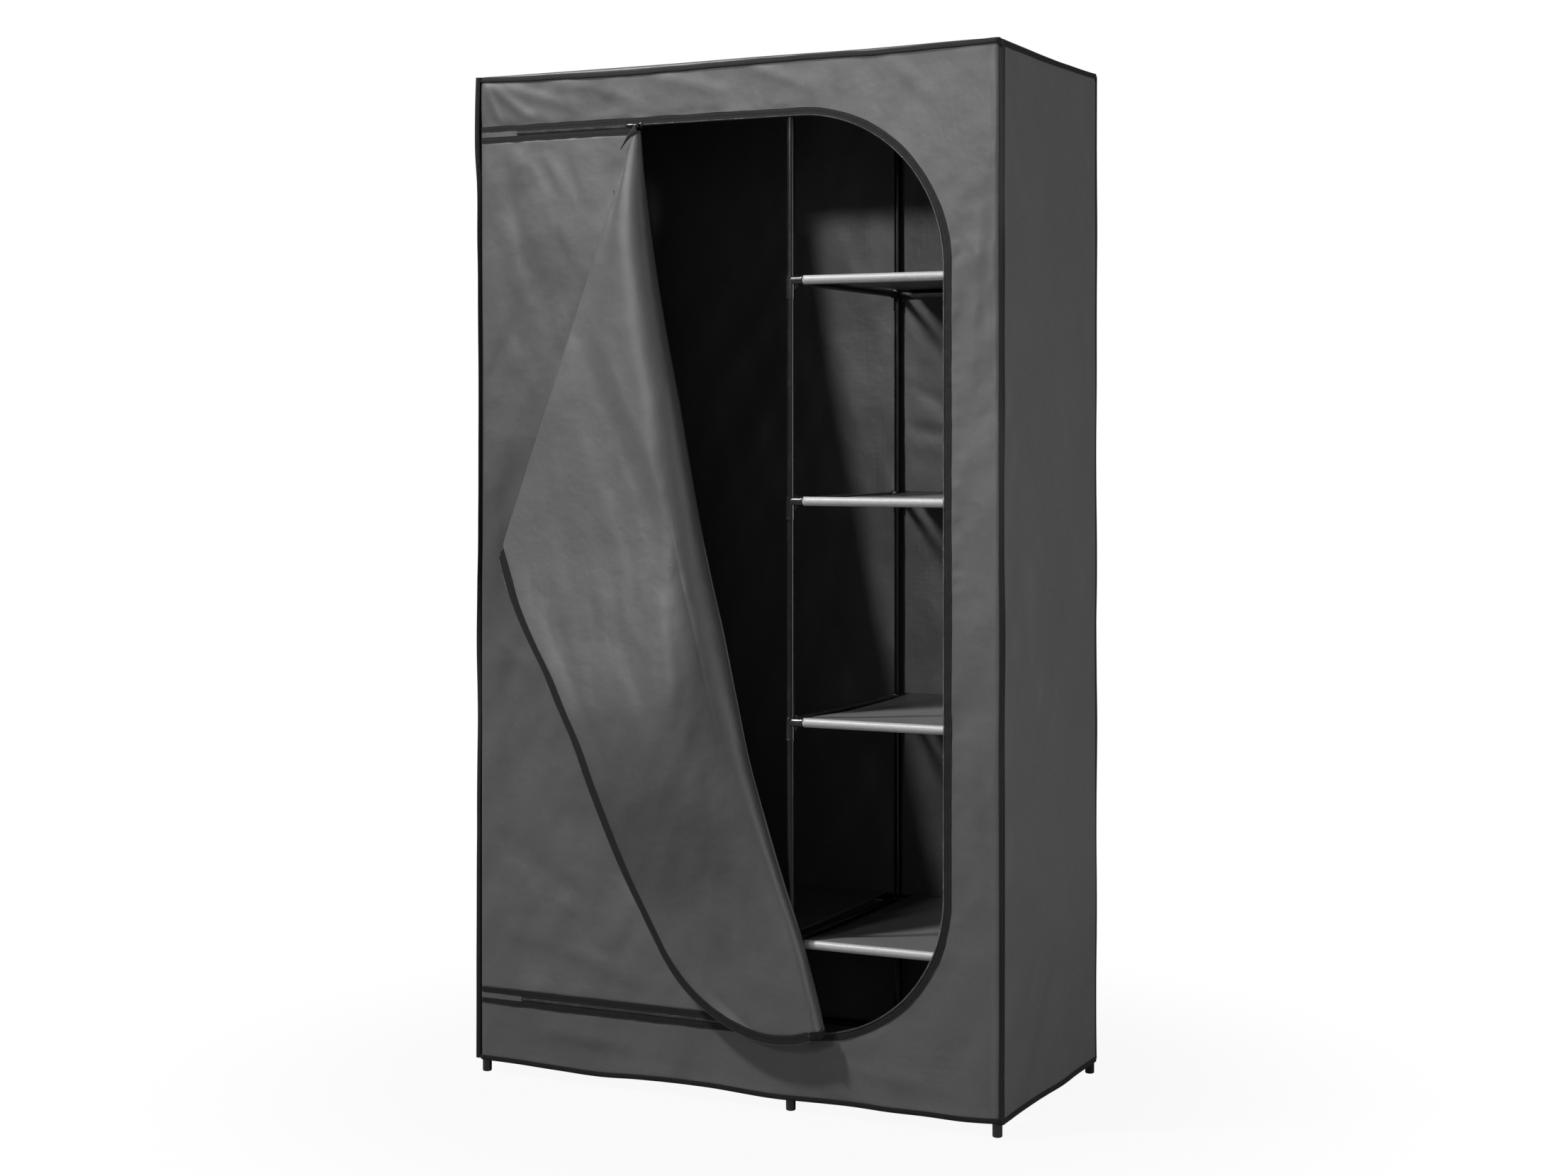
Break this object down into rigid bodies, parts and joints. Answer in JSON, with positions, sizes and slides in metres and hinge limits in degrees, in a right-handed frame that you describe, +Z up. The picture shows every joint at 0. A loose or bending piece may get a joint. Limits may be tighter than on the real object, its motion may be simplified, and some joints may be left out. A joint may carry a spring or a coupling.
{
  "type": "portable fabric wardrobe",
  "caption": "Portable wardrobe of steel tubes in moulded connectors, with fabric shelves beside a hanging space and a zipped fabric cover whose door folds open.",
  "frame": {"origin": "on the floor, under the middle of the whole box, the folded door included", "axes": "+Z up, the door faces -Y, and the hanging space is on the -X side"},
  "size_m": [0.885, 0.4546, 1.56],
  "materials": {
    "cover_fabric": "matt non-woven cloth",
    "lining_fabric": "pale inner face of the coated cloth",
    "shelf_fabric": "coated cloth",
    "binding_fabric": "black tape",
    "frame_tube": "satin black powder coat",
    "zip_metal": "gloss black enamel"
  },
  "bodies": {
    "wardrobe": {"bar_base_left": "frame_tube", "bar_base_right": "frame_tube", "bar_shelf_1_left": "frame_tube", "bar_shelf_1_middle": "frame_tube", "bar_shelf_1_right": "frame_tube", "bar_shelf_2_middle": "frame_tube", "bar_shelf_2_right": "frame_tube", "bar_shelf_3_middle": "frame_tube", "bar_shelf_3_right": "frame_tube", "bar_shelf_4_middle": "frame_tube", "bar_shelf_4_right": "frame_tube", "bar_top_left": "frame_tube", "bar_top_middle": "frame_tube", "bar_top_right": "frame_tube", "cover_back": "cover_fabric", "cover_front": "cover_fabric", "cover_left": "cover_fabric", "cover_right": "cover_fabric", "cover_top": "cover_fabric", "door_panel": "cover_fabric", "hanging_rail": "frame_tube", "post_back_left": "frame_tube", "post_back_middle": "frame_tube", "post_back_right": "frame_tube", "post_front_left": "frame_tube", "post_front_middle": "frame_tube", "post_front_right": "frame_tube", "rail_base_back_left": "frame_tube", "rail_base_back_right": "frame_tube", "rail_base_front_left": "frame_tube", "rail_base_front_right": "frame_tube", "rail_shelf_1_back_left": "frame_tube", "rail_shelf_1_back_right": "frame_tube", "rail_shelf_1_front_left": "frame_tube", "rail_shelf_1_front_right": "frame_tube", "rail_shelf_2_back_right": "frame_tube", "rail_shelf_2_front_right": "frame_tube", "rail_shelf_3_back_right": "frame_tube", "rail_shelf_3_front_right": "frame_tube", "rail_shelf_4_back_right": "frame_tube", "rail_shelf_4_front_right": "frame_tube", "rail_top_back_left": "frame_tube", "rail_top_back_right": "frame_tube", "rail_top_front_left": "frame_tube", "rail_top_front_right": "frame_tube", "seam_binding": "binding_fabric", "shelf_cloth_1_left": "shelf_fabric", "shelf_cloth_1_right": "shelf_fabric", "shelf_cloth_2_right": "shelf_fabric", "shelf_cloth_3_right": "shelf_fabric", "shelf_cloth_4_right": "shelf_fabric", "zip_door_bottom": "binding_fabric", "zip_door_top": "binding_fabric", "zip_tape_frame": "binding_fabric"},
    "door_flap": {"door_flap": "lining_fabric", "zip_tape_flap": "binding_fabric"},
    "top_slider": {"zip_slider_top": "zip_metal"},
    "top_pull": {"zip_pull_top": "zip_metal"},
    "bottom_slider": {"zip_slider_bottom": "zip_metal"},
    "bottom_pull": {"zip_pull_bottom": "zip_metal"}
  },
  "joints": [
    {"name": "door_fold", "type": "hinge", "parent": "wardrobe", "child": "door_flap", "pos_m": [-0.15, -0.19877, 1.467], "axis": [-0.2231, 0.0087, 0.9748], "range_deg": [0, 180]},
    {"name": "top_zip", "type": "slide", "parent": "wardrobe", "child": "top_slider", "axis": [1, 0, 0], "range_m": [-0.205, 0.288]},
    {"name": "bottom_zip", "type": "slide", "parent": "wardrobe", "child": "bottom_slider", "axis": [1, 0, 0], "range_m": [-0.485, 0]},
    {"name": "top_pull_swing", "type": "hinge", "parent": "top_slider", "child": "top_pull", "pos_m": [-0.15, -0.20107, 1.467], "axis": [0, 0, 1], "range_deg": [0, 180]},
    {"name": "bottom_pull_swing", "type": "hinge", "parent": "bottom_slider", "child": "bottom_pull", "pos_m": [0.138, -0.20107, 0.121], "axis": [0, 0, 1], "range_deg": [0, 180]}
  ]
}
